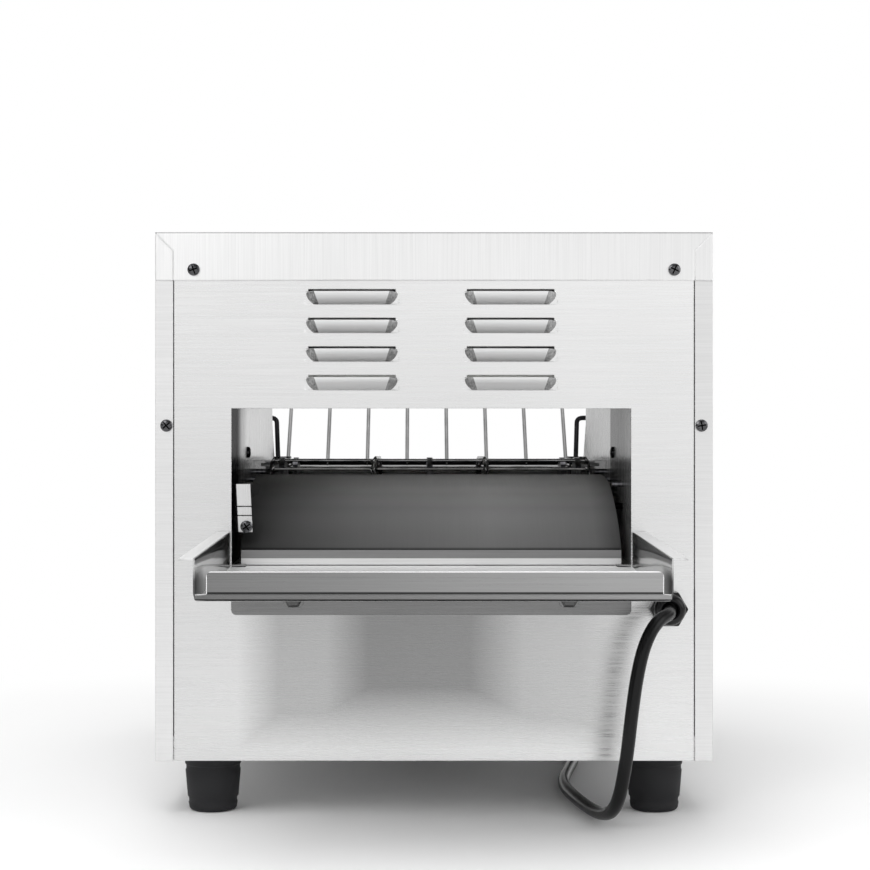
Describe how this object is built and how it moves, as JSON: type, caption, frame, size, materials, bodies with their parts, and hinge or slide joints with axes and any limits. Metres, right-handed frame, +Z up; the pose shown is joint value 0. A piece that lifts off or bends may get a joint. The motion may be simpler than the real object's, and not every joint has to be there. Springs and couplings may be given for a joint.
{
  "type": "conveyor toaster",
  "caption": "Countertop conveyor toaster in stainless sheet: leaning bread rack, wire belt under quartz heaters, toast slide and rear tray, two knobs, cable gland.",
  "frame": {"origin": "under the middle of the object without its cord, on the surface it stands on", "axes": "+Z up, -Y out of the rear where the toast tray is, +X to the right seen from there"},
  "size_m": [0.368, 0.7218, 0.387],
  "materials": {
    "casing_steel": "brushed satin stainless sheet",
    "inner_steel": "satin stainless sheet",
    "slide_steel": "heat-toned satin stainless sheet",
    "reflector_steel": "bright reflector sheet",
    "wire_steel": "bright stainless wire",
    "shaft_steel": "turned steel",
    "screw_steel": "plated pan-head screws",
    "quartz": "clear quartz tube with a coil inside",
    "ceramic": "matt steatite",
    "bronze": "sintered bronze",
    "motor_paint": "dark painted steel",
    "fan_plastic": "black moulded plastic",
    "knob_plastic": "black moulded phenolic",
    "switch_plastic": "dark moulded plastic",
    "lamp_lens": "red translucent lens",
    "board": "green circuit board",
    "terminal_plastic": "pale moulded plastic",
    "gland_nylon": "black nylon",
    "cord_rubber": "black rubber sheath",
    "plug_plastic": "black moulded plug",
    "foot_rubber": "black moulded rubber"
  },
  "bodies": {
    "casing": {"base_pan": "casing_steel", "left_side_panel": "casing_steel", "right_side_panel": "casing_steel", "rear_panel": "casing_steel", "top_cover": "casing_steel", "front_upper_panel": "casing_steel", "control_panel": "casing_steel", "left_inner_wall": "inner_steel", "right_inner_wall": "inner_steel", "chamber_floor": "inner_steel", "upper_reflector": "reflector_steel", "lower_reflector": "reflector_steel", "heater_guard": "wire_steel", "upper_heater_tubes": "quartz", "lower_heater_tubes": "quartz", "heater_end_caps": "ceramic", "shaft_bushes": "bronze", "left_guide_rail": "inner_steel", "right_guide_rail": "inner_steel", "wall_pins": "screw_steel", "conveyor_belt": "wire_steel", "drive_chain": "shaft_steel", "motor_bracket": "inner_steel", "gear_motor": "motor_paint", "toast_slide": "slide_steel", "slide_support_rods": "wire_steel", "slide_bracket": "inner_steel", "tray_runners": "inner_steel", "speed_control": "switch_plastic", "selector_switch": "switch_plastic", "indicator_lamp": "lamp_lens", "control_board": "board", "fan_housing": "fan_plastic", "cord_gland": "gland_nylon", "gland_nut": "gland_nylon", "gland_locknut": "gland_nylon", "power_cord": "cord_rubber", "cord_coil": "cord_rubber", "power_plug": "plug_plastic", "rubber_feet": "foot_rubber", "foot_screws": "screw_steel", "panel_screws": "screw_steel", "terminal_block": "terminal_plastic"},
    "belt_drive": {"drive_shaft": "shaft_steel", "drive_sprockets": "shaft_steel", "shaft_chain_sprocket": "shaft_steel"},
    "belt_idler": {"idler_shaft": "shaft_steel", "idler_sprockets": "shaft_steel"},
    "motor_output": {"motor_shaft": "shaft_steel", "motor_chain_sprocket": "shaft_steel"},
    "fan_wheel": {"fan_rotor": "fan_plastic"},
    "speed_dial": {"speed_knob": "knob_plastic", "speed_spindle": "shaft_steel"},
    "heat_dial": {"heat_selector_knob": "knob_plastic", "selector_spindle": "shaft_steel"},
    "rear_tray": {"toast_tray": "inner_steel"},
    "crumb_pan": {"crumb_tray": "inner_steel"},
    "bread_rack": {"loading_rack": "wire_steel"}
  },
  "joints": [
    {"name": "belt_drive_spin", "type": "hinge", "parent": "casing", "child": "belt_drive", "pos_m": [0, 0.05339, 0.2122], "axis": [1, 0, 0], "continuous": true, "deforming": ["conveyor_belt", "drive_chain"]},
    {"name": "belt_idler_spin", "type": "hinge", "parent": "casing", "child": "belt_idler", "pos_m": [0, 0.19309, 0.2122], "axis": [1, 0, 0], "continuous": true},
    {"name": "motor_output_spin", "type": "hinge", "parent": "casing", "child": "motor_output", "pos_m": [0, 0.05339, 0.0979], "axis": [1, 0, 0], "continuous": true},
    {"name": "fan_spin", "type": "hinge", "parent": "casing", "child": "fan_wheel", "pos_m": [-0.0018, 0.07139, 0.05], "axis": [0, 0, 1], "continuous": true},
    {"name": "speed_knob_turn", "type": "hinge", "parent": "casing", "child": "speed_dial", "pos_m": [-0.095, 0.27739, 0.096], "axis": [0, -1, 0], "range_deg": [0, 300]},
    {"name": "heat_selector_turn", "type": "hinge", "parent": "casing", "child": "heat_dial", "pos_m": [0.095, 0.27739, 0.096], "axis": [0, -1, 0], "range_deg": [0, 270]},
    {"name": "toast_tray_slide", "type": "slide", "parent": "casing", "child": "rear_tray", "axis": [0, -0.9993, -0.0384], "range_m": [0, 0.07]},
    {"name": "crumb_tray_slide", "type": "slide", "parent": "casing", "child": "crumb_pan", "axis": [0, -1, 0], "range_m": [0, 0.29]},
    {"name": "loading_rack_pull", "type": "slide", "parent": "casing", "child": "bread_rack", "axis": [0, 1, 0], "range_m": [0, 0.05]}
  ],
  "couplings": [
    {"joint": "belt_idler_spin", "follows": "belt_drive_spin", "ratio": 1},
    {"joint": "motor_output_spin", "follows": "belt_drive_spin", "ratio": 1}
  ]
}
